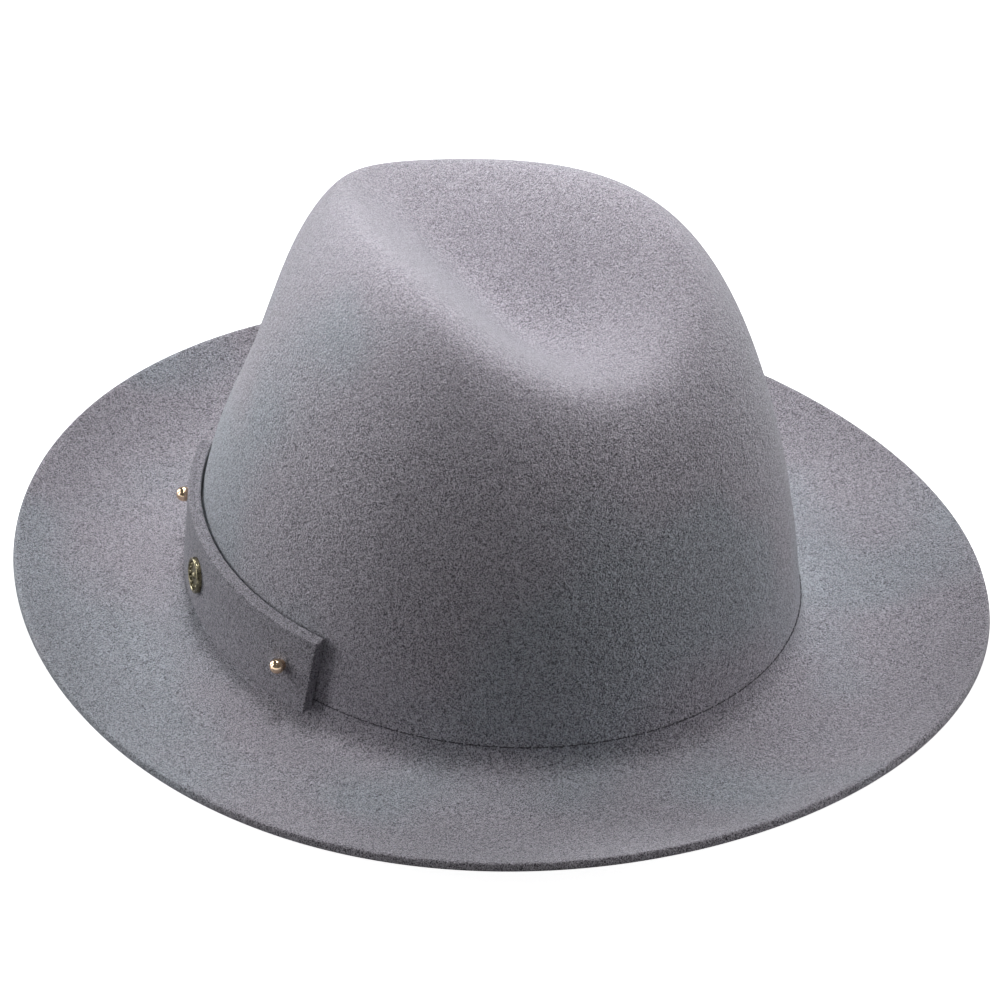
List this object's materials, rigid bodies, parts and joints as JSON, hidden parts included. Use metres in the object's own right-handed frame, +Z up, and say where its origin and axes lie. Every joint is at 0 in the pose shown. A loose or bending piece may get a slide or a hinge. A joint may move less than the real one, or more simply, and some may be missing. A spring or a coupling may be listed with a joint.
{
  "type": "fedora hat",
  "caption": "Grey wool-felt fedora with a teardrop crown dent, a gently upturned brim and a short felt side strap held by ball studs round a plain round badge.",
  "frame": {"origin": "under the middle of the hat, in the plane that the brim rests on", "axes": "+Z up through the crown, -Y towards the front of the hat (the pinched end of the crown), +X towards the wearer's left, where the strap is"},
  "size_m": [0.2956, 0.3279, 0.1371],
  "materials": {
    "wool_felt": "pressed wool felt, brushed nap, medium grey",
    "strap_felt": "pressed wool felt with cut edges, slightly darker grey",
    "stitch_thread": "dark grey cotton thread",
    "gold_plate": "polished pale gold plate",
    "screw_metal": "plain brass",
    "washer_metal": "plain nickel",
    "badge_rim": "aged bronze, polished on the rim",
    "badge_face": "aged bronze, dark in the recesses",
    "band_leather": "smooth dark leather",
    "reed_leather": "leather-covered reed",
    "ribbon": "grosgrain ribbon",
    "lining_satin": "grey satin",
    "piping": "satin-covered piping",
    "label_cloth": "woven label, blank"
  },
  "bodies": {
    "root": {"felt_body": "wool_felt", "seam_stitches": "stitch_thread", "strap": "strap_felt", "strap_studs": "gold_plate", "stud_screws": "screw_metal", "stud_washers": "washer_metal", "badge_bezel": "badge_rim", "badge_face": "badge_face", "badge_screw": "screw_metal", "badge_washer": "washer_metal", "sweatband": "band_leather", "sweatband_reed": "reed_leather", "sweatband_tape": "ribbon", "sweatband_bow": "ribbon", "lining_side": "lining_satin", "lining_tip": "lining_satin", "lining_piping": "piping", "size_label": "label_cloth"}
  },
  "joints": []
}
